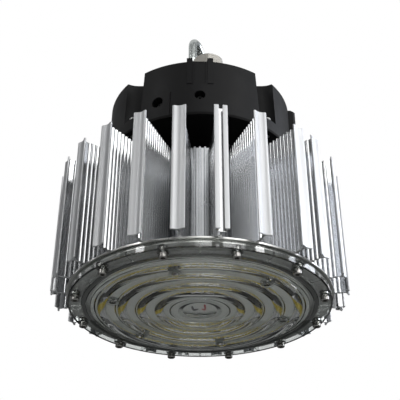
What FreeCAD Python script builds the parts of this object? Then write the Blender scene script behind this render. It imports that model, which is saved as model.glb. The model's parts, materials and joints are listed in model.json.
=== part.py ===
import FreeCAD, Part
import math
import os

# High bay light. Millimetres, +Z up, front towards -Y. The origin is under the middle of the
# lens, in the plane of the lens screw heads. Azimuths run from the front, positive towards +X.

os.makedirs("parts", exist_ok=True)
V = FreeCAD.Vector
EPS = 0.01

# ---------------------------------------------------------------- driving sizes
GAP = 0.3                # running clearance round a screw, a plug or a spigot
M5_HEAD_R, M5_HEAD_H, M5_R, M5_KEY = 4.25, 5.0, 2.5, 4.0
M4_HEAD_R, M4_HEAD_H, M4_R, M4_KEY = 3.6, 2.2, 2.0, 2.5
M3_HEAD_R, M3_HEAD_H, M3_R, M3_KEY = 2.8, 2.4, 1.5, 2.5

RIM_R, RIM_WALL = 132.0, 2.0
LENS_SCREWS, COLUMN_R, SCREW_EDGE = 12, 5.6, 7.0
FACE_Z, LENS_T, RIM_T, LENS_STEPS = 3.2, 4.7, 2.2, 3
DOME_R, DOME_DROP, DIP_R, DIP_D = 22.0, 2.9, 16.5, 2.2
CREASE_W, CREASE_D = 1.4, 0.9
RING_IN, RING_OUT, RING_DROP = 4.2, 4.5, 2.8
CAVITY_HALF, CAVITY_D = 2.8, 2.3
BOSS_DROP = 1.0
GASKET_W, GASKET_H, GASKET_PLAY = 4.5, 2.9, 0.5

LED_PITCH, LED_RADIAL, LED_LONG, LED_H, LED_GAP = 5.4, 4.6, 4.0, 0.7, 0.3
BOARD_PLAY, BOARD_T, PAD_T, PAD_IN = 2.5, 1.6, 0.4, 2.0
BASE_T, BASE_LIP, BASE_LIP_T = 4.0, 2.0, 1.5
LEAD_R, LEAD_HOLE_R = 2.5, 5.0

FIN_AZ = (7.5, 22.5, 40.0, 50.0, 67.5, 82.5, 97.5, 112.5, 127.5, 142.5, 157.5, 172.5,
          -172.5, -157.5, -142.5, -127.5, -112.5, -97.5, -82.5, -67.5, -52.5, -37.5, -22.5, -7.5)
SLOTTED_AZ = (7.5, 97.5, -172.5, -82.5)
FIN_H = 133.5
FIN_T, FIN_AMP, FIN_PITCH = 1.5, 0.75, 4.75
CORE_R, CORE_WALL, CORE_SLOT, FOOT_T = 78.0, 8.5, 4.8, 2.4
CORE_RIB_W, CORE_RIB_H = 2.6, 2.4
CORE_SCREWS, CORE_SCREW_L, CORE_PORT_R, CORE_PORT_IN = 6, 16.0, 5.0, 3.0
FLANGE_HALF, FLANGE_R, FLANGE_T, FLANGE_DISH = 6.45, 149.3, 1.7, 1.9
FLANGE_LIP, FLANGE_BEND, WEB_TIP = 1.8, 4.5, 1.2
SLOT_HALF, SLOT_DEPTH, SLOT_ROOM, SLOT_WALL = 1.75, 6.0, 3.6, 1.3

TOP_T, TOP_IN = 3.0, 5.0
NECK_IN, NECK_WALL, NECK_H = 18.0, 14.0, 20.6
GROMMET_R, GROMMET_HEAD, GROMMET_HEAD_T = 6.0, 2.5, 2.0
HOUSE_R0, HOUSE_H, HOUSE_WALL, HOUSE_DRAFT, HOUSE_ROUND = 101.8, 68.0, 3.0, 0.4, 1.8
HOUSE_BASE_EDGE, HOUSE_BASE_T, SEAL_T, SEAL_IN = 1.5, 3.0, 1.0, 0.2
NOTCH_H, NOTCH_DISH, NOTCH_DRAFT = 14.0, 4.4, 2.8
COVER_HEAD_R, COVER_HEAD_H, COVER_KEY = 4.2, 4.6, 3.0
POCKET_AZ, POCKET_H, POCKET_R, POCKET_WALL = (0.0, -25.7), (22.0, 20.0), (5.6, 6.3), 2.0
POCKET_WEB, SIDE_HEAD_H = 7.0, 4.0
RIB_AZ, RIB_W, RIB_H, RIB_RISE, RIB_PROUD = 6.15, 6.0, 37.0, 3.4, 0.5
CHANNEL_HALF, CHANNEL_D = 6.0, 1.2
SEAM_AZ, SEAM_W, SEAM_D, SEAM_H = -17.5, 1.0, 1.0, 29.0
SIDE_AZ, SIDE_W, SIDE_T, SIDE_CHAMFER, SIDE_IN, SIDE_LIFT, SIDE_RISE = 87.0, 15.0, 9.0, 2.2, 1.3, 10.0, 3.0
TRAY_T, TRAY_IN, TAB_T, TAB_HALF, TAB_RISE = 2.0, 25.5, 3.0, 7.0, 8.0
DRIVER_END, DRIVER_PLAY = 18.0, 5.2
TERMINAL_L, TERMINAL_W, TERMINAL_H, TERMINAL_PLAY, WIRE_PITCH, WIRE_R = 48.0, 14.0, 18.0, 10.0, 12.0, 2.2

HOOK_X, HOOK_TURN, HOOK_WIRE, HOOK_SHANK, HOOK_TAIL = -3.4, -24.0, 5.0, 5.0, 24.0
HOOK_BOSS_R, HOOK_BOSS_H = 22.0, 14.0
NUT_AF, NUT_H, WASHER_R, WASHER_T, INNER_NUT_H = 18.0, 10.0, 12.0, 2.0, 8.0
EYE_R, EYE_LONG, STEM_R, STEM_H, COLLAR_R, COLLAR_T = 13.2, 20.0, 6.0, 36.5, 9.0, 3.0
GLAND_X, GLAND_IN, GLAND_R, GLAND_H, GLAND_WALL = 9.0, 36.8, 17.6, 29.0, 5.9
GLAND_HEX_H, SLEEVE_H, SLEEVE_WALL, GLAND_TAIL = 5.0, 12.0, 3.7, 9.0
GLAND_FLAT, GLAND_TURN = 1.5, 24.0
CABLE_R, CAP_HOLE_R, CAP_T, CAP_ROUND, LOCKNUT_H = 4.0, 7.0, 3.0, 3.2, 5.0

# ---------------------------------------------------------------- radii that follow
SCREW_R = RIM_R - SCREW_EDGE                              # pitch circle of the lens screws
WALL_R = RIM_R - RIM_WALL
BASE_LIP_R = RIM_R + BASE_LIP
SEAT_R1 = SCREW_R - COLUMN_R - 3 * GAP                    # outer side of the gasket seat
SEAT_R0 = SEAT_R1 - GASKET_W - 3 * GASKET_PLAY
BOARD_R = SEAT_R0 - BOARD_PLAY
LED_RINGS = [BOARD_R * f for f in (0.891, 0.709, 0.532, 0.373)]
CREASE_R = [BOARD_R * f for f in (0.2727, 0.586, 0.769, 0.9555)]
INNER_R = 0.8045 * BOARD_R                                # screws that hold the lens to the board
INNER_BOSS_R = 0.31 * (LED_RINGS[0] - LED_RINGS[1])

CORE_BORE = CORE_R - CORE_WALL
CORE_SCREW_R = CORE_BORE - CORE_PORT_IN
TOP_R = CORE_R - TOP_IN
NECK_R = CORE_R - NECK_IN
NECK_BORE = NECK_R - NECK_WALL
NECK_SCREW_R = (NECK_R + NECK_BORE) / 2

HOUSE_R1 = HOUSE_R0 - HOUSE_DRAFT
HOUSE_BASE_R = HOUSE_R0 + HOUSE_BASE_EDGE
NOTCH_X, NOTCH_Y = 0.58 * HOUSE_R0, 0.59 * HOUSE_R0
COVER_SCREW_X, COVER_SCREW_Y = NOTCH_X + 11.5, NOTCH_Y + COVER_HEAD_R + 1.5 * GAP
COVER_SCREW_R = math.hypot(COVER_SCREW_X, COVER_SCREW_Y)
COVER_SCREW_AZ = math.degrees(math.atan2(COVER_SCREW_X, COVER_SCREW_Y))
TRAY_R = HOUSE_R0 - TRAY_IN
TAB_R1 = TRAY_R + TAB_RISE
TAB_R0 = TAB_R1 - TAB_T
POCKET_SEAT = TAB_R1 + POCKET_WEB
SIDE_SEAT = HOUSE_R1 - SIDE_IN
SIDE_R = SIDE_SEAT + SIDE_T
GLAND_Y = GLAND_IN - HOUSE_R0
THREAD_R = GLAND_R - GLAND_WALL

# ---------------------------------------------------------------- heights that follow
LENS_Z1 = FACE_Z + LENS_T
INNER_SEAT = FACE_Z + RIM_T
RIM_Z0 = M5_HEAD_H
BOARD_Z0 = LENS_Z1 + LED_GAP + LED_H
PAD_Z0 = BOARD_Z0 + BOARD_T
BASE_Z0 = PAD_Z0 + PAD_T
BASE_Z1 = BASE_Z0 + BASE_T
LIP_Z0 = BASE_Z1 - BASE_LIP_T
SEAT_Z = BASE_Z0 - GASKET_H
FIN_Z1 = BASE_Z1 + FIN_H
TOP_Z1 = FIN_Z1 + TOP_T
HOUSE_Z0 = TOP_Z1 + NECK_H
SEAL_Z0 = HOUSE_Z0 + HOUSE_BASE_T
COVER_Z0 = SEAL_Z0 + SEAL_T
COVER_Z1 = COVER_Z0 + HOUSE_H
INNER_TOP = COVER_Z1 - HOUSE_WALL
NOTCH_FLOOR = COVER_Z0 + NOTCH_H
POCKET_Z = [COVER_Z0 + h for h in POCKET_H]
RIB_Z0 = COVER_Z0 + RIB_H
SIDE_Z0, SIDE_Z1 = COVER_Z0 + SIDE_LIFT, COVER_Z1 + SIDE_RISE
DRIVER_Z0 = SEAL_Z0 + TRAY_T
DRIVER_H = HOUSE_H / 2
BOSS_TOP = COVER_Z1 + HOOK_BOSS_H
COLLAR_Z = BOSS_TOP + WASHER_T + NUT_H
EYE_FOOT = COLLAR_Z + STEM_H
EYE_Z = EYE_FOOT + HOOK_WIRE + EYE_R + EYE_LONG
HEX_TOP = COVER_Z1 + GLAND_HEX_H
SLEEVE_TOP = HEX_TOP + SLEEVE_H
GLAND_TOP = COVER_Z1 + GLAND_H
CAP_SEAT = GLAND_TOP - CAP_T


def at(r, az, z=0.0):
    a = math.radians(az)
    return V(r * math.sin(a), -r * math.cos(a), z)


def turned(shape, az):
    s = shape.copy()
    s.rotate(V(0, 0, 0), V(0, 0, 1), az)
    return s


def rod(r, z0, z1, x=0.0, y=0.0):
    return Part.makeCylinder(r, z1 - z0, V(x, y, z0))


def rod_at(r, z0, z1, radius, az):
    c = at(radius, az)
    return rod(r, z0, z1, c.x, c.y)


def ring(r0, r1, z0, z1):
    return rod(r1, z0, z1).cut(rod(r0, z0 - 1, z1 + 1))


def block(x0, x1, y0, y1, z0, z1):
    return Part.makeBox(x1 - x0, y1 - y0, z1 - z0, V(x0, y0, z0))


def prism(points, z0, z1):
    wire = Part.makePolygon([V(x, y, z0) for x, y in points] + [V(points[0][0], points[0][1], z0)])
    return Part.Face(wire).extrude(V(0, 0, z1 - z0))


def turned_profile(edges):
    return Part.Face(Part.Wire(edges)).revolve(V(0, 0, 0), V(0, 0, 1), 360)


def spin(r, z):
    return V(r, 0, z)


def chain(points):
    """Edges through (r, z) points. A point given as a pair of points is the middle and the end of an arc."""
    edges, last = [], spin(*points[0])
    for p in points[1:]:
        if isinstance(p[0], tuple):
            end = spin(*p[1])
            edges.append(Part.Arc(last, spin(*p[0]), end).toShape())
        else:
            end = spin(*p)
            edges.append(Part.makeLine(last, end))
        last = end
    return edges


def join(shapes):
    first, rest = shapes[0], shapes[1:]
    return first.multiFuse(rest).removeSplitter() if rest else first


def write(name, shape):
    shape.exportStep("parts/" + name + ".step")


def azimuths(count, first):
    return [first + 360.0 * i / count for i in range(count)]


def socket_screw(head_r, head_h, shank_r, length, key):
    """Socket screw on Z, head from 0 up to head_h with its key recess facing down, shank above."""
    edge = 0.5
    body = turned_profile(chain([(0, 0), (head_r - edge, 0), (head_r, edge), (head_r, head_h),
                                 (shank_r, head_h), (shank_r, head_h + length), (0, head_h + length),
                                 (0, 0)]))
    corner = key / math.sqrt(3)
    hexagon = [(corner * math.cos(math.radians(60 * k)), corner * math.sin(math.radians(60 * k)))
               for k in range(6)]
    return body.cut(prism(hexagon, -1, 0.5 * head_h))


def moved(shape, x, y, z):
    s = shape.copy()
    s.translate(V(x, y, z))
    return s


def upside_down(shape):
    s = shape.copy()
    s.rotate(V(0, 0, 0), V(1, 0, 0), 180)
    return s


LENS_AZ = azimuths(LENS_SCREWS, 15.0)
INNER_AZ = azimuths(LENS_SCREWS // 2, -15.0)
CORE_AZ = azimuths(CORE_SCREWS, 0.0)
NECK_AZ = azimuths(4, 45.0)
NOTCH_AZ = [s * a for s in (1, -1) for a in (COVER_SCREW_AZ, 180 - COVER_SCREW_AZ)]
POCKETS = list(zip(POCKET_AZ, POCKET_Z, POCKET_R))


def group(shapes):
    return Part.makeCompound(shapes)


def rods(r, z0, z1, radius, azs):
    return [rod_at(r, z0, z1, radius, az) for az in azs]


def screws(screw, z, radius, azs):
    """Copies of a screw on a pitch circle, its datum at height z."""
    spots = [at(radius, az) for az in azs]
    return group([moved(screw, c.x, c.y, z) for c in spots])


# ---------------------------------------------------------------- lens cover and what holds it
def sag(r, depth):
    """Depth below its rim, halfway out, of a spherical dome of rim radius r."""
    ball = (r ** 2 + depth ** 2) / (2 * depth)
    return depth - ball + math.sqrt(ball ** 2 - (0.5 * r) ** 2)


def lens_profile():
    """Closed (r, z) section of the moulded lens. Outside: dome, one bulging ring lens under each row of
    LEDs, fine creases, stepped rim and wall. Inside: a hollow ring over each row, a dip over the dome."""
    low = FACE_Z - DOME_DROP
    rise = (RIM_Z0 - FACE_Z) / LENS_STEPS
    mid = (RING_OUT - RING_IN) / 2
    features = [(r - CREASE_W / 2, (r, FACE_Z + CREASE_D), (r + CREASE_W / 2, FACE_Z)) for r in CREASE_R]
    features += [(r - RING_IN, ((r + mid, FACE_Z - RING_DROP), (r + RING_OUT, FACE_Z))) for r in LED_RINGS]
    outside = [(0, low), ((0.5 * DOME_R, FACE_Z - sag(DOME_R, DOME_DROP)), (DOME_R, FACE_Z))]
    for start, *rest in sorted(features):
        outside += [(start, FACE_Z)] + rest
    for k, r in enumerate((BOARD_R - 2 * GASKET_PLAY, SEAT_R0 + 2 * GASKET_PLAY, SEAT_R1 - GASKET_PLAY)):
        outside += [(r, FACE_Z + k * rise), (r + rise, FACE_Z + (k + 1) * rise)]
    outside += [(RIM_R - rise, RIM_Z0), (RIM_R, RIM_Z0 + rise), (RIM_R, LIP_Z0)]
    inside = [(WALL_R, LIP_Z0), (WALL_R, RIM_Z0 + RIM_T), (SEAT_R1, RIM_Z0 + RIM_T), (SEAT_R1, SEAT_Z),
              (SEAT_R0, SEAT_Z), (BOARD_R, LENS_Z1)]
    for r in LED_RINGS:
        inside += [(r + CAVITY_HALF, LENS_Z1), ((r, LENS_Z1 - CAVITY_D), (r - CAVITY_HALF, LENS_Z1))]
    inside += [(DIP_R, LENS_Z1), ((0.5 * DIP_R, LENS_Z1 - sag(DIP_R, DIP_D)), (0, LENS_Z1 - DIP_D)), (0, low)]
    return chain(outside + inside)


lens = turned_profile(lens_profile())
columns = rods(COLUMN_R, RIM_Z0, BASE_Z0, SCREW_R, LENS_AZ)
gusset = block(-0.8, 0.8, -WALL_R - 0.5, -SEAT_R1 + 0.5, RIM_Z0 + RIM_T - 0.2, BASE_Z0 - 2 * GAP)
gussets = [turned(gusset, az + 180.0 / LENS_SCREWS) for az in LENS_AZ]
bosses = rods(INNER_BOSS_R, FACE_Z - BOSS_DROP, BOARD_Z0, INNER_R, INNER_AZ)
holes = rods(M5_R + GAP, 0, BASE_Z1, SCREW_R, LENS_AZ) + rods(M3_R + GAP, 0, BASE_Z1, INNER_R, INNER_AZ)
holes += rods(M3_HEAD_R + GAP, 0, INNER_SEAT, INNER_R, INNER_AZ)
write("lens_cover", join([lens] + columns + gussets + bosses).cut(group(holes)))

write("lens_gasket", ring(SEAT_R0 + 2 * GASKET_PLAY, SEAT_R1 - GASKET_PLAY, SEAT_Z, BASE_Z0))

lens_screw = socket_screw(M5_HEAD_R, M5_HEAD_H, M5_R, BASE_Z1 - M5_HEAD_H, M5_KEY)
write("lens_screws", screws(lens_screw, 0, SCREW_R, LENS_AZ))
inner_screw = socket_screw(M3_HEAD_R, M3_HEAD_H, M3_R, BASE_Z1 - 1 - INNER_SEAT, M3_KEY)
write("lens_inner_screws", screws(inner_screw, INNER_SEAT - M3_HEAD_H, INNER_R, INNER_AZ))

# ---------------------------------------------------------------- light engine
led = block(-LED_LONG / 2, LED_LONG / 2, -LED_RADIAL / 2, LED_RADIAL / 2, BOARD_Z0 - LED_H, BOARD_Z0)
leds = []
for r in LED_RINGS:
    leds += [turned(moved(led, 0, -r, 0), az) for az in azimuths(int(2 * math.pi * r / LED_PITCH), 0.0)]
write("leds", group(leds))

board_cuts = rods(M3_R + GAP, BOARD_Z0 - 1, BASE_Z0 + 1, INNER_R, INNER_AZ)
write("led_board", rod(BOARD_R, BOARD_Z0, PAD_Z0).cut(group(board_cuts)))
write("thermal_pad", ring(LEAD_HOLE_R, BOARD_R - PAD_IN, PAD_Z0, BASE_Z0).cut(group(board_cuts)))

# ---------------------------------------------------------------- heatsink
base_cuts = rods(M5_R + GAP, BASE_Z0 - 1, BASE_Z1 + 1, SCREW_R, LENS_AZ)
base_cuts += rods(M3_R + GAP, BASE_Z0 - 1, BASE_Z1 - 1, INNER_R, INNER_AZ)
base_cuts += rods(M4_R + GAP, BASE_Z0 - 1, BASE_Z1 + 1, CORE_SCREW_R, CORE_AZ)
base_cuts += rods(M4_HEAD_R + GAP, BASE_Z0 - 1, BASE_Z0 + M4_HEAD_H, CORE_SCREW_R, CORE_AZ)
base_cuts.append(rod(LEAD_HOLE_R, BASE_Z0 - 1, BASE_Z1 + 1))
base = join([rod(WALL_R - GAP, BASE_Z0, BASE_Z1), rod(BASE_LIP_R, LIP_Z0, BASE_Z1)])
write("base_plate", base.cut(group(base_cuts)))
core_screw = socket_screw(M4_HEAD_R, M4_HEAD_H, M4_R, CORE_SCREW_L, M4_KEY)
write("core_screws", screws(core_screw, BASE_Z0, CORE_SCREW_R, CORE_AZ))


def core_rib_azimuths():
    """Three ribs in every gap between fins, none in the narrow one."""
    found, fins = [], sorted(FIN_AZ)
    for i, az in enumerate(fins):
        span = (fins[(i + 1) % len(fins)] - az) % 360
        if span > 14:
            found += [az + span * k / 4.0 for k in (1, 2, 3)]
    return found


rib = prism([(-CORE_RIB_W / 2, -CORE_R + 0.5), (-0.3 * CORE_RIB_W, -CORE_R - CORE_RIB_H),
             (0.3 * CORE_RIB_W, -CORE_R - CORE_RIB_H), (CORE_RIB_W / 2, -CORE_R + 0.5)], BASE_Z1, FIN_Z1)
core = join([rod(CORE_R, BASE_Z1, FIN_Z1)] + [turned(rib, az) for az in core_rib_azimuths()])
core = core.cut(rod(CORE_BORE, BASE_Z1 - 1, FIN_Z1 + 1))
core = join([core] + rods(CORE_PORT_R, BASE_Z1, FIN_Z1, CORE_SCREW_R, CORE_AZ))
foot_slot = block(-FOOT_T / 2, FOOT_T / 2, -CORE_R - 1, -CORE_R + CORE_SLOT, BASE_Z1 - 1, FIN_Z1 + 1)
core_cuts = [turned(foot_slot, az) for az in FIN_AZ]
core_cuts += rods(M4_R + GAP, BASE_Z1 - 1, BASE_Z1 + CORE_SCREW_L, CORE_SCREW_R, CORE_AZ)
core_cuts += rods(M4_R + GAP, FIN_Z1 - CORE_SCREW_L, FIN_Z1 + 1, CORE_SCREW_R, CORE_AZ)
write("heatsink_core", core.cut(group(core_cuts)))


def fin_outline(slotted):
    """Closed fin section as (side, distance out) points: foot, ribbed web, flange and back again."""
    if slotted:
        floor, lip = FLANGE_R - SLOT_DEPTH, FLANGE_R - FLANGE_LIP
        back = floor - SLOT_WALL
        half = [(WEB_TIP, back), (SLOT_ROOM + SLOT_WALL, back), (SLOT_ROOM + SLOT_WALL, lip),
                (FLANGE_HALF, lip), (FLANGE_HALF, FLANGE_R), (SLOT_HALF, FLANGE_R),
                (SLOT_HALF, lip), (SLOT_ROOM, lip), (SLOT_ROOM, floor)]
    else:
        back = FLANGE_R - FLANGE_DISH - FLANGE_T
        dish = [(v, FLANGE_R - FLANGE_DISH * (1 - (v / FLANGE_BEND) ** 2))
                for v in (FLANGE_BEND * k / 3 for k in (3, 2, 1, 0))]
        half = [(WEB_TIP, back), (FLANGE_BEND, FLANGE_R - FLANGE_T), (FLANGE_HALF, FLANGE_R - FLANGE_T),
                (FLANGE_HALF, FLANGE_R)] + dish
    root, start = CORE_R - CORE_SLOT, CORE_R + 2.0
    steps = int((back - FIN_T - start) / (FIN_PITCH / 2))
    wave = [((FIN_AMP if k % 2 else -FIN_AMP), start + k * FIN_PITCH / 2) for k in range(steps + 1)]
    right = [(FOOT_T / 2, root), (FOOT_T / 2, CORE_R)] + [(c + FIN_T / 2, u) for c, u in wave]
    left = [(c - FIN_T / 2, u) for c, u in reversed(wave)] + [(-FOOT_T / 2, CORE_R), (-FOOT_T / 2, root)]
    mirrored = [(-v, u) for v, u in reversed(half) if v > EPS]
    return right + half + mirrored + left


for n, az in enumerate(FIN_AZ):
    section = [(v, -u) for v, u in fin_outline(az in SLOTTED_AZ)]
    write("fin_%02d" % (n + 1), turned(prism(section, BASE_Z1, FIN_Z1), az))

# ---------------------------------------------------------------- neck between heatsink and housing
top_cuts = [rod(GROMMET_R, FIN_Z1 - 1, TOP_Z1 + 1)]
top_cuts += rods(M4_R + GAP, FIN_Z1 - 1, TOP_Z1, CORE_SCREW_R, CORE_AZ)
top_cuts += rods(M4_HEAD_R + GAP, TOP_Z1 - M4_HEAD_H, TOP_Z1 + 1, CORE_SCREW_R, CORE_AZ)
top_cuts += rods(M5_R + GAP, FIN_Z1 - 1, TOP_Z1 + 1, NECK_SCREW_R, NECK_AZ)
write("top_plate", rod(TOP_R, FIN_Z1, TOP_Z1).cut(group(top_cuts)))
top_screw = upside_down(socket_screw(M4_HEAD_R, M4_HEAD_H, M4_R, CORE_SCREW_L - M4_HEAD_H, M4_KEY))
write("top_plate_screws", screws(top_screw, TOP_Z1, CORE_SCREW_R, CORE_AZ))

neck_holes = rods(M5_R + GAP, TOP_Z1 - 1, HOUSE_Z0 + 1, NECK_SCREW_R, NECK_AZ)
write("neck", ring(NECK_BORE, NECK_R, TOP_Z1, HOUSE_Z0).cut(group(neck_holes)))
neck_screw = upside_down(socket_screw(M5_HEAD_R, M5_HEAD_H, M5_R, SEAL_Z0 - FIN_Z1, M5_KEY))
write("neck_screws", screws(neck_screw, SEAL_Z0 + M5_HEAD_H, NECK_SCREW_R, NECK_AZ))
write("lead_grommet", join([ring(LEAD_R + GAP, GROMMET_R - GAP, FIN_Z1, TOP_Z1),
                            ring(LEAD_R + GAP, GROMMET_R + GROMMET_HEAD, TOP_Z1, TOP_Z1 + GROMMET_HEAD_T)]))


# ---------------------------------------------------------------- driver housing
def notch_wire(x0, y0, z):
    """Outline of one corner pocket at height z: straight on one side, dished on the other."""
    far, tip_x, bend = 1.5 * HOUSE_R0, x0 + 4.7 * NOTCH_DISH, 2.0
    deep = -y0 - NOTCH_DISH
    edges = [Part.makeLine(V(x0, -far, z), V(x0, -y0 - bend, z)),
             Part.Arc(V(x0, -y0 - bend, z), V(x0 + 0.3 * bend, -y0 - 0.3 * bend, z),
                      V(x0 + bend, -y0, z)).toShape(),
             Part.makeLine(V(x0 + bend, -y0, z), V(x0 + 2 * NOTCH_DISH, -y0, z)),
             Part.Arc(V(x0 + 2 * NOTCH_DISH, -y0, z), V(x0 + 3.5 * NOTCH_DISH, -y0 - 0.3 * NOTCH_DISH, z),
                      V(tip_x, deep, z)).toShape(),
             Part.makeLine(V(tip_x, deep, z), V(far, deep, z)),
             Part.makeLine(V(far, deep, z), V(far, -far, z)),
             Part.makeLine(V(far, -far, z), V(x0, -far, z))]
    return Part.Wire(edges)


def notches(margin, z0, z1):
    """All four corner pockets from z0 up to z1. Their straight walls lean as a mould needs."""
    lean = NOTCH_DRAFT / (COVER_Z1 - NOTCH_FLOOR)
    ends = [notch_wire(NOTCH_X - margin + lean * (COVER_Z1 - z), NOTCH_Y - margin, z) for z in (z0, z1)]
    corner = Part.makeLoft(ends, True, True)
    front = [corner, corner.mirror(V(0, 0, 0), V(1, 0, 0))]
    return group(front + [s.mirror(V(0, 0, 0), V(0, 1, 0)) for s in front])


def radial_rod(r, az, z, out, back):
    """A rod that points at the axis, from distance out to distance back."""
    return Part.makeCylinder(r, out - back, at(out, az, z), -at(1, az))


house_cuts = rods(M5_R + GAP, HOUSE_Z0 - 1, SEAL_Z0 + 1, NECK_SCREW_R, NECK_AZ)
house_cuts += rods(M4_R + GAP, HOUSE_Z0 - 1, SEAL_Z0 + 1, COVER_SCREW_R, NOTCH_AZ)
house_cuts.append(rod(LEAD_HOLE_R, HOUSE_Z0 - 1, SEAL_Z0 + 1))
write("housing_base", rod(HOUSE_BASE_R, HOUSE_Z0, SEAL_Z0).cut(group(house_cuts)))

inner_notch = notches(HOUSE_WALL, SEAL_Z0 - 2, COVER_Z1)
inner_r0, inner_r1 = HOUSE_R0 - HOUSE_WALL, HOUSE_R1 - HOUSE_WALL
seal_hole = rod(inner_r0, SEAL_Z0 - 1, COVER_Z0 + 1).cut(inner_notch)
seal = rod(HOUSE_R0 - SEAL_IN, SEAL_Z0, COVER_Z0).cut(seal_hole)
write("housing_seal", seal.cut(group(rods(M4_R + GAP, SEAL_Z0 - 1, COVER_Z0 + 1, COVER_SCREW_R, NOTCH_AZ))))

slope, soft = HOUSE_DRAFT / HOUSE_H, 0.29 * HOUSE_ROUND
outer = turned_profile(chain([(0, COVER_Z0), (HOUSE_R0, COVER_Z0),
                              (HOUSE_R1 + slope * HOUSE_ROUND, COVER_Z1 - HOUSE_ROUND),
                              ((HOUSE_R1 - soft, COVER_Z1 - soft), (HOUSE_R1 - HOUSE_ROUND, COVER_Z1)),
                              (0, COVER_Z1), (0, COVER_Z0)]))
cavity = Part.makeCone(inner_r0, inner_r1, HOUSE_H - HOUSE_WALL, V(0, 0, COVER_Z0)).cut(inner_notch)
cover = outer.cut(notches(0.0, NOTCH_FLOOR, COVER_Z1 + 1)).cut(cavity)

face_rib = block(-RIB_W / 2, RIB_W / 2, -HOUSE_R0 - RIB_PROUD, -HOUSE_R1 + 5, RIB_Z0, COVER_Z1 + RIB_RISE)
face_ribs = join([cover, turned(face_rib, RIB_AZ), turned(face_rib, -RIB_AZ)])
pad_boss = rod(HOOK_BOSS_R, COVER_Z1 - 1, BOSS_TOP, HOOK_X)
pocket_boss = [radial_rod(r + POCKET_WALL, az, z, HOUSE_R1 - 1, TAB_R1) for az, z, r in POCKETS]
cover = join([face_ribs, pad_boss] + pocket_boss)
channel = block(-CHANNEL_HALF, CHANNEL_HALF, -HOUSE_R0 - 5, -HOUSE_R1 + CHANNEL_D, RIB_Z0, COVER_Z1 + 1)
seam = turned(block(-SEAM_W / 2, SEAM_W / 2, -HOUSE_R0 - 5, -HOUSE_R0 + SEAM_D,
                    COVER_Z0 - 1, COVER_Z0 + SEAM_H),
              SEAM_AZ)
cover_cuts = [channel, seam]
cover_cuts += [radial_rod(r, az, z, HOUSE_R0 + 5, POCKET_SEAT) for az, z, r in POCKETS]
cover_cuts += [radial_rod(M4_R + GAP, az, z, POCKET_SEAT + 1, TAB_R0) for az, z, r in POCKETS]
cover_cuts += rods(M4_R + GAP, COVER_Z0 - 1, NOTCH_FLOOR + 1, COVER_SCREW_R, NOTCH_AZ)
cover_cuts += [rod(HOOK_SHANK + GAP, INNER_TOP - 1, BOSS_TOP + 1, HOOK_X),
               rod(THREAD_R + GAP, INNER_TOP - 1, COVER_Z1 + 1, GLAND_X, GLAND_Y)]
cover_cuts.append(turned(block(-SIDE_W / 2 - GAP, SIDE_W / 2 + GAP, -SIDE_R - 10, -SIDE_SEAT, SIDE_Z0 - GAP,
                               SIDE_Z1 + 10), SIDE_AZ))
write("housing_cover", cover.cut(group(cover_cuts)))

side = prism([(-SIDE_W / 2, -SIDE_SEAT), (-SIDE_W / 2, -SIDE_R + SIDE_CHAMFER),
              (-SIDE_W / 2 + SIDE_CHAMFER, -SIDE_R), (SIDE_W / 2 - SIDE_CHAMFER, -SIDE_R),
              (SIDE_W / 2, -SIDE_R + SIDE_CHAMFER), (SIDE_W / 2, -SIDE_SEAT)], SIDE_Z0, SIDE_Z1)
top_edges = [e for e in side.Edges if e.BoundBox.ZMin > SIDE_Z1 - EPS
             and e.BoundBox.YMax < -SIDE_R + SIDE_CHAMFER + EPS]
write("side_port_cover", turned(side.makeChamfer(0.9 * SIDE_CHAMFER, top_edges), SIDE_AZ))

cover_screw = upside_down(socket_screw(COVER_HEAD_R, COVER_HEAD_H, M4_R, NOTCH_FLOOR - HOUSE_Z0, COVER_KEY))
write("cover_screws", screws(cover_screw, NOTCH_FLOOR + COVER_HEAD_H, COVER_SCREW_R, NOTCH_AZ))

# ---------------------------------------------------------------- inside the housing
tray = [rod(TRAY_R, SEAL_Z0, DRIVER_Z0)]
tray_cuts = rods(M5_HEAD_R + GAP, SEAL_Z0 - 1, DRIVER_Z0 + 1, NECK_SCREW_R, NECK_AZ)
tray_cuts.append(rod(LEAD_HOLE_R, SEAL_Z0 - 1, DRIVER_Z0 + 1))
side_screw = socket_screw(M4_HEAD_R, SIDE_HEAD_H, M4_R, POCKET_SEAT - TAB_R0 + M4_R, COVER_KEY)
side_screw.rotate(V(0, 0, 0), V(1, 0, 0), -90)
fixings = []
for az, z, r in POCKETS:
    tray += [turned(block(-TAB_HALF, TAB_HALF, -TAB_R1, -TRAY_R + TAB_T, SEAL_Z0, DRIVER_Z0), az),
             turned(block(-TAB_HALF, TAB_HALF, -TAB_R1, -TAB_R0, SEAL_Z0, z + TAB_RISE), az)]
    tray_cuts.append(radial_rod(M4_R + GAP, az, z, TAB_R1 + 1, TAB_R0 - 1))
    fixings.append(turned(moved(side_screw, 0, -POCKET_SEAT - SIDE_HEAD_H, z), az))
write("driver_tray", join(tray).cut(group(tray_cuts)))
write("side_screws", group(fixings))

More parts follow.
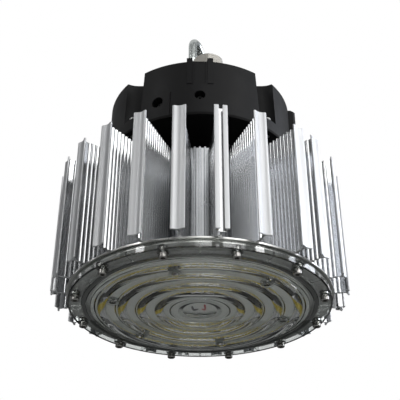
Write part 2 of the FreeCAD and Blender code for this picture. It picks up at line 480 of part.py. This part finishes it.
half_w = NECK_SCREW_R * math.sqrt(0.5) - M5_HEAD_R - DRIVER_PLAY
half_l = TRAY_R - DRIVER_END
driver = block(-half_l, half_l, -half_w, half_w, DRIVER_Z0, DRIVER_Z0 + DRIVER_H)
write("led_driver", driver.makeChamfer(2.0, [e for e in driver.Edges if e.BoundBox.ZLength > DRIVER_H - EPS]))
wall_y = half_w + TERMINAL_PLAY
terminal = block(-TERMINAL_L / 2, TERMINAL_L / 2, wall_y, wall_y + TERMINAL_W,
                 DRIVER_Z0, DRIVER_Z0 + TERMINAL_H)
terminal_cuts = [rod(WIRE_R, DRIVER_Z0 + TERMINAL_H / 2, DRIVER_Z0 + TERMINAL_H + 1, WIRE_PITCH * (k - 1.5),
                     wall_y + TERMINAL_W / 2) for k in range(4)]
write("terminal_block", terminal.cut(group(terminal_cuts)))
write("dc_lead", rod(LEAD_R, PAD_Z0, DRIVER_Z0))


# ---------------------------------------------------------------- hook
def hexagon(across, x, y):
    reach = across / math.sqrt(3)
    corners = [math.radians(60 * k) for k in range(6)]
    return [(x + reach * math.cos(a), y + reach * math.sin(a)) for a in corners]


def hex_nut(across, r, z0, z1, x, y):
    return prism(hexagon(across, x, y), z0, z1).cut(rod(r + GAP, z0 - 1, z1 + 1, x, y))


reach = EYE_R + 2 * HOOK_WIRE
torus = Part.makeTorus(EYE_R, HOOK_WIRE, V(0, 0, 0), V(0, 1, 0))
top_half = torus.common(block(-reach, reach, -reach, reach, 0, reach))
low_half = top_half.mirror(V(0, 0, 0), V(0, 0, 1))
low_half.translate(V(0, 0, -EYE_LONG))
eye = join([top_half, low_half] + [rod(HOOK_WIRE, -EYE_LONG, 0, x, 0) for x in (-EYE_R, EYE_R)])
eye.translate(V(0, 0, EYE_Z))
eye.rotate(V(0, 0, 0), V(0, 0, 1), 90 + HOOK_TURN)
tail = COVER_Z1 - HOOK_TAIL
stem = turned_profile(chain([(0, tail), (HOOK_SHANK, tail), (HOOK_SHANK, COLLAR_Z), (COLLAR_R, COLLAR_Z),
                             (COLLAR_R, COLLAR_Z + COLLAR_T), (STEM_R + 0.5, COLLAR_Z + 2 * COLLAR_T),
                             (STEM_R, EYE_FOOT - 2), (STEM_R - 1, EYE_FOOT + HOOK_WIRE),
                             (0, EYE_FOOT + HOOK_WIRE), (0, tail)]))
write("hook", moved(join([eye, stem]), HOOK_X, 0, 0))
write("hook_washer", moved(ring(HOOK_SHANK + GAP, WASHER_R, BOSS_TOP, BOSS_TOP + WASHER_T), HOOK_X, 0, 0))
write("hook_nut", hex_nut(NUT_AF, HOOK_SHANK, BOSS_TOP + WASHER_T, COLLAR_Z, HOOK_X, 0))
write("hook_inner_nut", hex_nut(NUT_AF, HOOK_SHANK, INNER_TOP - INNER_NUT_H, INNER_TOP, HOOK_X, 0))

# ---------------------------------------------------------------- cable gland
bore_r = THREAD_R - SLEEVE_WALL
body = join([prism(hexagon(2 * GLAND_R - 2, GLAND_X, GLAND_Y), COVER_Z1, HEX_TOP),
             rod(THREAD_R, INNER_TOP - GLAND_TAIL, COVER_Z1, GLAND_X, GLAND_Y),
             rod(THREAD_R, HEX_TOP, SLEEVE_TOP, GLAND_X, GLAND_Y)])
write("gland_body", body.cut(rod(bore_r, INNER_TOP - GLAND_TAIL - 1, SLEEVE_TOP + 1, GLAND_X, GLAND_Y)))
write("gland_seal", moved(ring(CABLE_R, THREAD_R, SLEEVE_TOP, CAP_SEAT), GLAND_X, GLAND_Y, 0))
cap_r, soft = THREAD_R + GAP, 0.29 * CAP_ROUND
cap = turned_profile(chain([(cap_r, HEX_TOP), (GLAND_R, HEX_TOP), (GLAND_R, GLAND_TOP - CAP_ROUND),
                            ((GLAND_R - soft, GLAND_TOP - soft), (GLAND_R - CAP_ROUND, GLAND_TOP)),
                            (CAP_HOLE_R, GLAND_TOP), (CAP_HOLE_R, CAP_SEAT), (cap_r, CAP_SEAT),
                            (cap_r, HEX_TOP)]))
flats = turned(prism(hexagon(2 * (GLAND_R - GLAND_FLAT), 0, 0), COVER_Z1, GLAND_TOP + 1), GLAND_TURN)
write("gland_cap", moved(cap.common(flats), GLAND_X, GLAND_Y, 0))
write("gland_locknut", hex_nut(2 * THREAD_R + 3.6, THREAD_R, INNER_TOP - LOCKNUT_H, INNER_TOP,
                               GLAND_X, GLAND_Y))
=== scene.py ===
import bpy
import math
import numpy as np
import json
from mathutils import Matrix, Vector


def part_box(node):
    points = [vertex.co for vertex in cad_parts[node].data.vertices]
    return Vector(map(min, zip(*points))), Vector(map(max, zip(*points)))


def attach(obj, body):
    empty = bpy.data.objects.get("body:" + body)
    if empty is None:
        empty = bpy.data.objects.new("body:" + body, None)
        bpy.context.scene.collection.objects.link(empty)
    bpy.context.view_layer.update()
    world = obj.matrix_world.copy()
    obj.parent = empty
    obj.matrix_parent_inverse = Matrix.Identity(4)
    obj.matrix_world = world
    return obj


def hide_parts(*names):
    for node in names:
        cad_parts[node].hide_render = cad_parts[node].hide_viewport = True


# High bay light. Blender works in metres. Sizes here are in millimetres, as in the CAD, and MM turns them.
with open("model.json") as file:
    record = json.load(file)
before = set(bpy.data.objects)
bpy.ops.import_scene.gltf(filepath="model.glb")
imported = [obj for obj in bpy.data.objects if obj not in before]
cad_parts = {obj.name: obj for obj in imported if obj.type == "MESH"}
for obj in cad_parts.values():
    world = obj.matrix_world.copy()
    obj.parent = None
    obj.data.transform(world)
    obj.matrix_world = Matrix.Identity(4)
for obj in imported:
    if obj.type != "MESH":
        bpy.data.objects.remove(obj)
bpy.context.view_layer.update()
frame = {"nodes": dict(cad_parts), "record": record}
NODES = frame["nodes"]
SLOT = {part["node"]: part["material_slot"] for part in frame["record"]["subparts"]}
MM = 0.001


# ------------------------------------------------------------------ shader helpers
def linear(hex_colour):
    """sRGB hex to the linear RGBA that shaders take."""
    srgb = [int(hex_colour[i:i + 2], 16) / 255 for i in (1, 3, 5)]
    return [v / 12.92 if v <= 0.04045 else ((v + 0.055) / 1.055) ** 2.4 for v in srgb] + [1.0]


def node(tree, kind, links=(), **values):
    """Adds a shader node. A value sets the input of its name, or a setting where the name starts with _."""
    n = tree.nodes.new(kind)
    for key, value in values.items():
        if key.startswith("_"):
            setattr(n, key[1:], value)
        else:
            n.inputs[key.replace("_", " ")].default_value = value
    for socket, source in dict(links).items():
        tree.links.new(source, n.inputs[socket])
    return n


def material(name):
    m = bpy.data.materials.new(name)
    m.use_nodes = True
    m.node_tree.nodes.clear()
    return m, m.node_tree


def surface(tree, shader):
    node(tree, "ShaderNodeOutputMaterial", {"Surface": shader.outputs[0]})


def place(tree, sx, sy, sz):
    """World position measured in steps of sx, sy and sz millimetres."""
    pos = node(tree, "ShaderNodeNewGeometry").outputs["Position"]
    n = node(tree, "ShaderNodeVectorMath", {0: pos}, _operation="MULTIPLY")
    n.inputs[1].default_value = (1 / (sx * MM), 1 / (sy * MM), 1 / (sz * MM))
    return n.outputs[0]


def noise(tree, steps, detail=2.0):
    """Noise whose features are about as large as steps, in millimetres along x, y and z."""
    at = place(tree, *steps)
    return node(tree, "ShaderNodeTexNoise", {"Vector": at}, Scale=1.0, Detail=detail).outputs["Fac"]


def between(tree, value, low, high, **ends):
    return node(tree, "ShaderNodeMapRange", {"Value": value}, To_Min=low, To_Max=high, **ends).outputs[0]


def spread(tree, value, low, high):
    """A noise value, which lies mostly between 0.3 and 0.7, spread from low to high."""
    return between(tree, value, low, high, From_Min=0.3, From_Max=0.7)


def relief(tree, height, depth_mm, links=(), **values):
    """A principled shader with a bump depth_mm deep."""
    bump = node(tree, "ShaderNodeBump", {"Height": height}, Strength=1.0, Distance=depth_mm * MM)
    return node(tree, "ShaderNodeBsdfPrincipled", {**dict(links), "Normal": bump.outputs[0]}, **values)


# ------------------------------------------------------------------ materials
DRAWN_LINES = (0.5, 0.5, 400)           # noise steps: the fine lines along Z that drawing leaves
DRAWN_PATCHES = (25, 25, 90)            # noise steps: slow changes of its gloss
MOULD_PATCHES = (30, 30, 30)
TURNED_GRAIN = (1.2, 1.2, 1.2)
PAPER_FIBRE = (3, 3, 3)
FACE_FROM, FACE_BLEND = 146.5, 0.6      # where a fin's outer face starts, out from the axis, and how softly
FLATTEN = 1e9                           # a step so long that a place along it no longer counts


def extruded(name, colour, rough):
    """Satin anodised extrusion: fine drawing lines along Z in the bump, and slow patches in the roughness."""
    m, t = material(name)
    rough_map = spread(t, noise(t, DRAWN_PATCHES), rough - 0.04, rough + 0.05)
    surface(t, relief(t, noise(t, DRAWN_LINES), 0.012, {"Roughness": rough_map},
                      Base_Color=linear(colour), Metallic=1.0))
    return m


def fin_extrusion(name, colour, web_rough, face_rough):
    """Satin anodised fin: a smooth web, and beyond FACE_FROM a more matt outer face with drawing lines."""
    m, t = material(name)
    flat = node(t, "ShaderNodeVectorMath", {0: place(t, 1, 1, FLATTEN)}, _operation="LENGTH").outputs["Value"]
    outer = between(t, flat, 0.0, 1.0, From_Min=FACE_FROM, From_Max=FACE_FROM + FACE_BLEND)
    lines = noise(t, DRAWN_LINES)
    bump = node(t, "ShaderNodeBump", {"Height": lines, "Strength": outer}, Distance=0.004 * MM)
    base = between(t, outer, web_rough, face_rough)
    uneven = spread(t, noise(t, DRAWN_PATCHES), -0.03, 0.04)
    rough = node(t, "ShaderNodeMath", {0: base, 1: uneven}, _operation="ADD")
    surface(t, node(t, "ShaderNodeBsdfPrincipled", {"Roughness": rough.outputs[0], "Normal": bump.outputs[0]},
                    Base_Color=linear(colour), Metallic=1.0))
    return m


def metal(name, colour, rough):
    """Plated or turned metal with a faint even grain."""
    m, t = material(name)
    grain = noise(t, TURNED_GRAIN, detail=3.0)
    surface(t, relief(t, grain, 0.004, {"Roughness": spread(t, grain, rough - 0.05, rough + 0.06)},
                      Base_Color=linear(colour), Metallic=1.0))
    return m


def moulded(name, colour, rough, grain_mm=0.6, depth_mm=0.02, gloss=0.5):
    """Moulded plastic, rubber or powder coat: a fine leathery grain and slightly uneven gloss."""
    m, t = material(name)
    rough_map = spread(t, noise(t, MOULD_PATCHES), rough - 0.04, rough + 0.05)
    grain = noise(t, [grain_mm] * 3, detail=3.0)
    surface(t, relief(t, grain, depth_mm, {"Roughness": rough_map},
                      Base_Color=linear(colour), Specular_IOR_Level=gloss))
    return m


def clear_moulding(name, tint, shade):
    """Clear polycarbonate: it bends what is seen through it. Its pale shadow lets lamps reach the board."""
    m, t = material(name)
    glass = node(t, "ShaderNodeBsdfPrincipled", Base_Color=linear(tint), Roughness=0.0, IOR=1.58,
                 Transmission_Weight=1.0)
    clear = node(t, "ShaderNodeBsdfTransparent", Color=linear(shade))
    shadow = node(t, "ShaderNodeLightPath").outputs["Is Shadow Ray"]
    surface(t, node(t, "ShaderNodeMixShader", {0: shadow, 1: glass.outputs[0], 2: clear.outputs[0]}))
    return m


def backdrop(name, colour, seen):
    """Matt paper that lights the product as grey, and that the eye sees pale and even."""
    m, t = material(name)
    paper = relief(t, noise(t, PAPER_FIBRE, detail=3.0), 0.05, Base_Color=linear(colour), Roughness=0.9)
    pale = node(t, "ShaderNodeEmission", Color=linear(seen), Strength=1.0)
    eye = node(t, "ShaderNodeLightPath").outputs["Is Camera Ray"]
    surface(t, node(t, "ShaderNodeMixShader", {0: eye, 1: paper.outputs[0], 2: pale.outputs[0]}))
    return m


FINISH = {
    "fin_aluminium": fin_extrusion("satin_anodised_aluminium", "#D2D3D4", web_rough=0.20, face_rough=0.52),
    # The core's grey is darker than the fins' aluminium. This is painted shade, standing for the shade that
    # falls on the core deep between the fins.
    "core_aluminium": extruded("core_aluminium_darkened_as_shade", "#9C9EA0", 0.24),
    "base_aluminium": metal("turned_aluminium", "#CFCFCC", 0.30),
    "clear_cover": clear_moulding("clear_polycarbonate", tint="#F1F3F2", shade="#E6E9E8"),
    "stainless": metal("stainless_screw", "#A3A19D", 0.22),
    "inner_steel": metal("zinc_plated_sheet", "#A9A9A6", 0.35),
    "black_steel": moulded("black_oxide_steel", "#0A0A0A", 0.45),
    "zinc_screw": metal("zinc_plated_screw", "#C4C4C1", 0.30),
    "black_housing": moulded("matt_black_moulding", "#0D0D0E", 0.5, gloss=0.22),
    "black_base": moulded("black_powder_coat", "#070707", 0.7, grain_mm=0.4, depth_mm=0.03, gloss=0.15),
    "silicone": moulded("dark_silicone", "#343432", 0.6),
    "black_rubber": moulded("black_rubber", "#151515", 0.65),
    "led_phosphor": moulded("yellow_phosphor", "#CDB428", 0.4, grain_mm=0.3, depth_mm=0.01),
    "board_white": moulded("board_solder_mask", "#C2C2BE", 0.45, grain_mm=0.5, depth_mm=0.004),
    "pad_grey": moulded("thermal_pad_grey", "#777A80", 0.7),
    "red_insulation": moulded("red_wire_insulation", "#A01818", 0.45),
    "driver_case": moulded("driver_case_grey", "#8C8C8E", 0.5),
    "terminal_white": moulded("white_nylon", "#D0D0CC", 0.45),
    "nickel": metal("nickel_plated_brass", "#B4B1AA", 0.5),
    "zinc_steel": metal("bright_zinc_plated_steel", "#DDE2DF", 0.24),
}
OWN_FINISH = {"lens_gasket": moulded("translucent_silicone", "#787876", 0.5)}
for name, slot in SLOT.items():
    for used in NODES[name].material_slots:
        used.material = OWN_FINISH.get(name, FINISH[slot])


# ------------------------------------------------------------------ mesh helpers
def mesh_object(name, verts, faces, finish, crisp, stands_for=()):
    """A piece of the light, riding on its only body. Edges sharper than crisp degrees stay sharp. The finish
    is a record slot, or one that only this file has."""
    mesh = bpy.data.meshes.new(name)
    mesh.from_pydata([tuple(v) for v in verts], [], faces)
    obj = bpy.data.objects.new(name, mesh)
    bpy.context.scene.collection.objects.link(obj)
    mesh.materials.append(FINISH[finish])
    mesh.shade_smooth()
    mesh.set_sharp_from_angle(angle=math.radians(crisp))
    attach(obj, "root")
    if stands_for:
        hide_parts(*stands_for)


def turn(points, azimuth):
    """Points turned about the vertical axis. Azimuth 0 is the front, towards -Y."""
    a = math.radians(azimuth)
    p = np.asarray(points, float)
    return np.stack([p[:, 0] * math.cos(a) - p[:, 1] * math.sin(a),
                     p[:, 0] * math.sin(a) + p[:, 1] * math.cos(a), p[:, 2]], axis=1)


def skin(rings, order):
    """Faces that join so many rings of points, each walked in the given order, and that close both ends."""
    n, last = len(order), (rings - 1) * len(order)
    faces = [(r * n + a, r * n + b, (r + 1) * n + b, (r + 1) * n + a)
             for r in range(rings - 1) for a, b in zip(order, order[1:] + order[:1])]
    return faces + [tuple(reversed(order)), tuple(last + i for i in order)]


def tube(path, radius, sides=20):
    """A round bar along a smooth path, with both ends closed. Its frame is carried along the path."""
    p = np.asarray(path, float)
    ahead = np.gradient(p, axis=0)
    ahead /= np.linalg.norm(ahead, axis=1, keepdims=True)
    side = np.cross(ahead[0], (0.0, 0.0, 1.0) if abs(ahead[0][2]) < 0.9 else (1.0, 0.0, 0.0))
    a = np.linspace(0, 2 * np.pi, sides, endpoint=False)[:, None]
    rings = []
    for at, t in zip(p, ahead):
        side = side - t * np.dot(side, t)
        side /= np.linalg.norm(side)
        rings.append(at + radius * (np.cos(a) * side + np.sin(a) * np.cross(t, side)))
    return np.concatenate(rings), skin(len(rings), list(range(sides)))


def lathe(profile, sides=48):
    """A body turned about the vertical axis from (radius, z) points, with a flat cap at both ends."""
    a = np.linspace(0, 2 * np.pi, sides, endpoint=False)
    rings = [np.stack([r * np.cos(a), r * np.sin(a), np.full(sides, z)], axis=1) for r, z in profile]
    return np.concatenate(rings), skin(len(rings), list(range(sides)))


# ------------------------------------------------------------------ fins
FIN_AZ = (7.5, 22.5, 40.0, 50.0, 67.5, 82.5, 97.5, 112.5, 127.5, 142.5, 157.5, 172.5,
          -172.5, -157.5, -142.5, -127.5, -112.5, -97.5, -82.5, -67.5, -52.5, -37.5, -22.5, -7.5)
SLOTTED_AZ = (7.5, 97.5, -172.5, -82.5)
CORE_R, FOOT, ROOT_HALF = 78.0, 4.8, 1.2        # the core, how deep a fin's foot sits in it, half the foot
FLANGE_R, FLANGE_HALF = 149.3, 6.45             # the flange's outer face from the axis, and half its width
FLANGE_T, TIP_T = 3.6, 1.7                      # thickness of a plain flange at the web and at its tips
DISH, DISH_HALF, DISH_STEPS = 1.3, 4.5, 6       # the hollow of its face
LIP_T, SLOT_D, SLOT_WALL = 1.8, 6.0, 1.3        # lips, depth and wall of the slot in a slotted flange
SLOT_HALF, MOUTH_HALF = 3.6, 1.75
WEB_T, BEAD, WEB_PITCH = 1.3, 1.25, 4.75        # web thickness in the grooves, height and pitch of the beads
BEADS_FROM, BEAD_STEPS = 2.0, 10
CORNER_R, END_CHAMFER = 0.45, 0.15


def rounded(points, radius, steps=3):
    """A closed outline whose soft corners are cut by short arcs. Each point is ((x, y), soft)."""
    outline = []
    for i, (at, soft) in enumerate(points):
        if not soft:
            outline.append(at)
            continue
        corner, before, after = map(np.array, (at, points[i - 1][0], points[(i + 1) % len(points)][0]))
        back, on = np.linalg.norm(before - corner), np.linalg.norm(after - corner)
        r = min(radius, 0.4 * back, 0.4 * on)
        start, end = corner + (before - corner) / back * r, corner + (after - corner) / on * r
        for k in range(steps + 1):
            t = k / steps
            outline.append(tuple((1 - t) ** 2 * start + 2 * t * (1 - t) * corner + t ** 2 * end))
    return outline


def fin_section(slotted):
    """Fin outline as (side, distance out). Both sides of the web carry beads that meet in sharp grooves. They
    are BEAD * |sin(pi u / WEB_PITCH)| high, with u counted from the first bead."""
    if slotted:
        lip, floor = FLANGE_R - LIP_T, FLANGE_R - SLOT_D
        back, outside = floor - SLOT_WALL, SLOT_HALF + SLOT_WALL
        half = [((ROOT_HALF, back), False), ((outside, back), True), ((outside, lip), False),
                ((FLANGE_HALF, lip), True), ((FLANGE_HALF, FLANGE_R), True), ((MOUTH_HALF, FLANGE_R), True),
                ((MOUTH_HALF, lip), True), ((SLOT_HALF, lip), False), ((SLOT_HALF, floor), False)]
    else:
        back, tip = FLANGE_R - FLANGE_T, FLANGE_R - TIP_T
        half = [((ROOT_HALF, back), False), ((DISH_HALF, tip), False), ((FLANGE_HALF, tip), True),
                ((FLANGE_HALF, FLANGE_R), True)]
        half += [((DISH_HALF * k / DISH_STEPS, FLANGE_R - DISH * (1 - (k / DISH_STEPS) ** 2)), False)
                 for k in range(DISH_STEPS, -1, -1)]
    start = CORE_R + BEADS_FROM
    beads = int((back - WEB_T - start) / WEB_PITCH)
    out = start + np.linspace(0, beads * WEB_PITCH, beads * BEAD_STEPS + 1)
    side = WEB_T / 2 + BEAD * np.abs(np.sin(np.pi * (out - start) / WEB_PITCH))
    right = [((ROOT_HALF, CORE_R - FOOT), False), ((ROOT_HALF, CORE_R), False)]
    right += [((s, d), False) for s, d in zip(side, out)]
    left = [((-s, d), soft) for (s, d), soft in reversed(right)]
    mirrored = [((-s, d), soft) for (s, d), soft in reversed(half) if s > 0]
    return rounded(right + half + mirrored + left, CORNER_R)


def extrude(section, z0, z1, edge):
    """An upright body with a small chamfer at both ends, made by shrinking the section there."""
    n = len(section)
    xy = np.array([(side, -out) for side, out in section])
    ahead, behind = np.roll(xy, -1, axis=0), np.roll(xy, 1, axis=0)
    along = ahead - behind
    inward = np.stack([-along[:, 1], along[:, 0]], axis=1)
    inward /= np.maximum(np.linalg.norm(inward, axis=1, keepdims=True), 1e-9)
    turns_left = np.sum(xy[:, 0] * ahead[:, 1] - ahead[:, 0] * xy[:, 1]) > 0
    inward *= 1 if turns_left else -1
    rings = [(xy + inward * edge, z0), (xy, z0 + edge), (xy, z1 - edge), (xy + inward * edge, z1)]
    verts = np.concatenate([np.column_stack([p, np.full(n, z)]) for p, z in rings])
    return verts, skin(len(rings), list(range(n))[::1 if turns_left else -1])


FIN_Z = [corner[2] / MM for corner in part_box("fin_01")]
SECTIONS = {kind: extrude(fin_section(kind), FIN_Z[0], FIN_Z[1], END_CHAMFER) for kind in (False, True)}
for i, azimuth in enumerate(FIN_AZ, 1):
    verts, faces = SECTIONS[azimuth in SLOTTED_AZ]
    verts = turn(verts * MM, azimuth)
    mesh_object("fin_profile_%02d" % i, verts, faces, "fin_aluminium", crisp=40, stands_for=["fin_%02d" % i])


# ------------------------------------------------------------------ hanging eye
EYE_R, EYE_LONG, EYE_WIRE, EYE_TURN = 13.2, 20.0, 5.0, -24.0    # middle line, limbs, bar radius, turn
SHANK_R, SHANK_EDGE = 5.0, 0.8
COLLAR_R, COLLAR_T, COLLAR_EDGE = 9.0, 3.0, 0.5
STEM_R, STEM_H, STEM_FLARE = 6.0, 36.5, 0.5
STEM_TIP_R, STEM_TIP_FROM = 5.0, 2.0            # the stem narrows to this, from so far below the ring
HOOK_LOW, HOOK_HIGH = [[v / MM for v in corner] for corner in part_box("hook")]
EYE_X, EYE_Y = [(HOOK_LOW[i] + HOOK_HIGH[i]) / 2 for i in (0, 1)]
EYE_Z = HOOK_HIGH[2] - EYE_WIRE - EYE_R
EYE_FOOT = EYE_Z - EYE_LONG - EYE_R - EYE_WIRE
COLLAR_Z = EYE_FOOT - STEM_H
COLLAR_TOP = COLLAR_Z + COLLAR_T


def loop(steps, sides):
    """A closed bar: two straight limbs EYE_LONG tall, joined by half circles of radius EYE_R."""
    a = np.linspace(0, np.pi, steps + 1)
    top = np.stack([EYE_R * np.cos(a), np.zeros_like(a), EYE_R * np.sin(a)], axis=1)
    path = np.concatenate([top, -top - (0, 0, EYE_LONG)])
    ahead = np.roll(path, -1, axis=0) - np.roll(path, 1, axis=0)
    ahead /= np.linalg.norm(ahead, axis=1, keepdims=True)
    across = np.array((0.0, 1.0, 0.0))
    outward = np.cross(ahead, across)
    b = np.linspace(0, 2 * np.pi, sides, endpoint=False)
    verts = (path[:, None] + EYE_WIRE * (np.cos(b)[None, :, None] * outward[:, None]
                                         + np.sin(b)[None, :, None] * across)).reshape(-1, 3)
    faces = []
    for r in range(len(path)):
        here, there = r * sides, (r + 1) % len(path) * sides
        faces += [(here + i, there + i, there + (i + 1) % sides, here + (i + 1) % sides)
                  for i in range(sides)]
    return verts, faces


verts, faces = loop(28, 28)
verts = (turn(verts, 90 + EYE_TURN) + (EYE_X, EYE_Y, EYE_Z)) * MM
mesh_object("hanging_eye_ring", verts, faces, "zinc_steel", crisp=50, stands_for=["hook"])
verts, faces = lathe([
    (SHANK_R - SHANK_EDGE, HOOK_LOW[2]), (SHANK_R, HOOK_LOW[2] + SHANK_EDGE), (SHANK_R, COLLAR_Z),
    (COLLAR_R - COLLAR_EDGE, COLLAR_Z), (COLLAR_R, COLLAR_Z + COLLAR_EDGE),
    (COLLAR_R, COLLAR_TOP - COLLAR_EDGE), (COLLAR_R - COLLAR_EDGE, COLLAR_TOP),
    (STEM_R + STEM_FLARE, COLLAR_Z + 2 * COLLAR_T),
    (STEM_R, EYE_FOOT - STEM_TIP_FROM), (STEM_TIP_R, EYE_FOOT + EYE_WIRE)])
verts = (verts + (EYE_X, EYE_Y, 0.0)) * MM
mesh_object("hanging_eye_stem", verts, faces, "zinc_steel", crisp=35, stands_for=["hook"])


# ------------------------------------------------------------------ lead ends between the board and the lens
BOARD_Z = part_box("led_board")[0][2] / MM
WIRE_R = 1.0
for name, finish, bend in (("lead_core_red", "red_insulation", 1), ("lead_core_black", "black_rubber", -1)):
    start, middle, end = np.array([(1.1 * bend, 0.0, BOARD_Z + 1.2), (6.5 * bend, 4.0, BOARD_Z - 1.8),
                                   (-1.5 + 6.0 * bend, -8.5 - 2.0 * bend, BOARD_Z - WIRE_R)])
    t = np.linspace(0, 1, 24)[:, None]
    verts, faces = tube((1 - t) ** 2 * start + 2 * t * (1 - t) * middle + t ** 2 * end, WIRE_R)
    mesh_object(name, verts * MM, faces, finish, crisp=60)


# ------------------------------------------------------------------ studio, in metres and watts
LAMPS = (   # name, place, aimed at, width, height, power, colour
    ("right_bank", (1.9, 0.1, 0.65), (0, 0, 0.10), 1.3, 1.5, 24, "#F2F6FF"),
    ("right_strip", (1.4, -1.2, 0.95), (0, 0, 0.10), 0.3, 1.1, 7, "#FFFFFF"),
    ("front_bank", (0.7, -2.0, 1.15), (0, 0, 0.10), 1.8, 1.2, 15, "#FFFFFF"),
    ("left_strip", (-1.4, -1.2, 0.95), (0, 0, 0.10), 0.3, 1.1, 5, "#FFFFFF"),
    ("overhead", (-0.2, 0.3, 1.8), (0, 0, 0.15), 2.4, 2.4, 6, "#FFFFFF"),
    ("low_fill", (0.2, -1.3, -1.2), (0, 0, 0.0), 1.4, 0.5, 8, "#FFFFFF"),
)
FLOOR_Z, FLOOR_HALF = -1.7, 4
CAMERA_AT, CAMERA_TILT = (0.0, -0.7428, -0.3249), 121.73
CAMERA_LENS, CAMERA_SENSOR = 72.29, 36.0
scene = bpy.context.scene


def softbox(name, spot, target, wide, high, power, colour):
    lamp = bpy.data.lights.new(name, "AREA")
    lamp.shape, lamp.size, lamp.size_y, lamp.energy = "RECTANGLE", wide, high, power
    lamp.color = linear(colour)[:3]
    o = bpy.data.objects.new(name, lamp)
    o.location = spot
    dx, dy, dz = [t - s for t, s in zip(target, spot)]
    o.rotation_euler = (math.pi / 2 + math.atan2(dz, math.hypot(dx, dy)), 0, math.atan2(dy, dx) - math.pi / 2)
    scene.collection.objects.link(o)


for lamp in LAMPS:
    softbox(*lamp)

corners = [(x * FLOOR_HALF, y * FLOOR_HALF, FLOOR_Z) for x, y in ((-1, -1), (1, -1), (1, 1), (-1, 1))]
floor_mesh = bpy.data.meshes.new("studio_floor")
floor_mesh.from_pydata(corners, [], [(0, 1, 2, 3)])
floor = bpy.data.objects.new("studio_floor", floor_mesh)
floor_mesh.materials.append(backdrop("pale_studio_paper", "#C8C8C6", "#EDEDEB"))
scene.collection.objects.link(floor)

# White behind the light for the eye, and for what is seen upwards through the clear rim. For the rest a dim
# room that grows lighter upwards. Height is -1 straight down and 1 straight up.
world = bpy.data.worlds.new("studio")
scene.world = world
world.use_nodes = True
wt = world.node_tree
wt.nodes.clear()
ray = node(wt, "ShaderNodeLightPath").outputs
direction = node(wt, "ShaderNodeTexCoord").outputs["Generated"]
height = node(wt, "ShaderNodeSeparateXYZ", {0: direction}).outputs["Z"]
above = between(wt, height, 0.0, 1.0, From_Min=0.10, From_Max=0.25)
through = node(wt, "ShaderNodeMath", {0: ray["Is Transmission Ray"], 1: above}, _operation="MULTIPLY")
seen = node(wt, "ShaderNodeMath", {0: ray["Is Camera Ray"], 1: through.outputs[0]}, _operation="MAXIMUM")
level = between(wt, height, 0.02, 0.25, From_Min=-0.15, From_Max=0.45)
room = node(wt, "ShaderNodeBackground", {"Strength": level}, Color=linear("#F2F4F6"))
white = node(wt, "ShaderNodeBackground", Color=linear("#FFFFFF"), Strength=1.0)
mix = node(wt, "ShaderNodeMixShader", {0: seen.outputs[0], 1: room.outputs[0], 2: white.outputs[0]})
node(wt, "ShaderNodeOutputWorld", {"Surface": mix.outputs[0]})

camera_data = bpy.data.cameras.new("camera")
camera_data.lens, camera_data.sensor_width = CAMERA_LENS, CAMERA_SENSOR
camera = bpy.data.objects.new("camera", camera_data)
camera.location = CAMERA_AT
camera.rotation_euler = (math.radians(CAMERA_TILT), 0, 0)
scene.collection.objects.link(camera)
scene.camera = camera
scene.view_settings.view_transform = "Standard"
